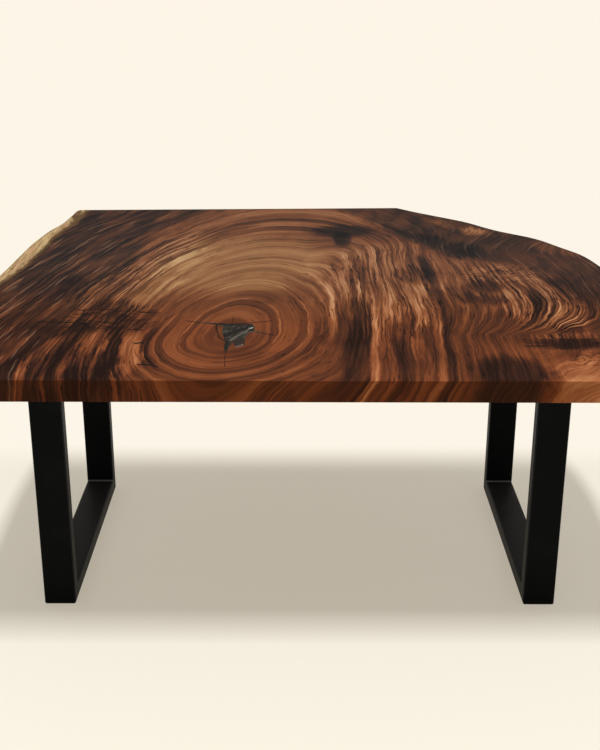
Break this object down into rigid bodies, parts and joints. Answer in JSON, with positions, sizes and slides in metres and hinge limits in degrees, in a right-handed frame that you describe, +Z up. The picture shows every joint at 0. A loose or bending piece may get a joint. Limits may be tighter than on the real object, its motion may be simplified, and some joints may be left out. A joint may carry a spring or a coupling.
{
  "type": "dining table",
  "caption": "Live edge dining table: a thick solid wood slab with two natural edges and a resin-filled knot, on two welded legs of rectangular black steel tube.",
  "frame": {"origin": "on the floor, under the middle of the slab's length and width", "axes": "+X to the right across the grain, +Y to the back along the grain, +Z up"},
  "size_m": [1.5361, 1.5241, 0.75],
  "materials": {
    "wood": "satin oil over figured heartwood with a pale sapwood edge",
    "resin": "gloss, dark, slightly cloudy",
    "powder_coat": "satin black powder coat",
    "black_steel": "black oxide",
    "zinc_steel": "zinc plated",
    "pad": "matte"
  },
  "bodies": {
    "root": {"slab": "wood", "knot_fill": "resin", "left_front_post": "powder_coat", "left_rear_post": "powder_coat", "left_floor_bar": "powder_coat", "left_mounting_plate": "powder_coat", "left_plate_screws": "black_steel", "left_plate_washers": "black_steel", "left_plate_inserts": "zinc_steel", "left_glide_pads": "pad", "right_front_post": "powder_coat", "right_rear_post": "powder_coat", "right_floor_bar": "powder_coat", "right_mounting_plate": "powder_coat", "right_plate_screws": "black_steel", "right_plate_washers": "black_steel", "right_plate_inserts": "zinc_steel", "right_glide_pads": "pad", "front_stiffener": "powder_coat", "front_stiffener_screws": "black_steel", "rear_stiffener": "powder_coat", "rear_stiffener_screws": "black_steel"}
  },
  "joints": []
}
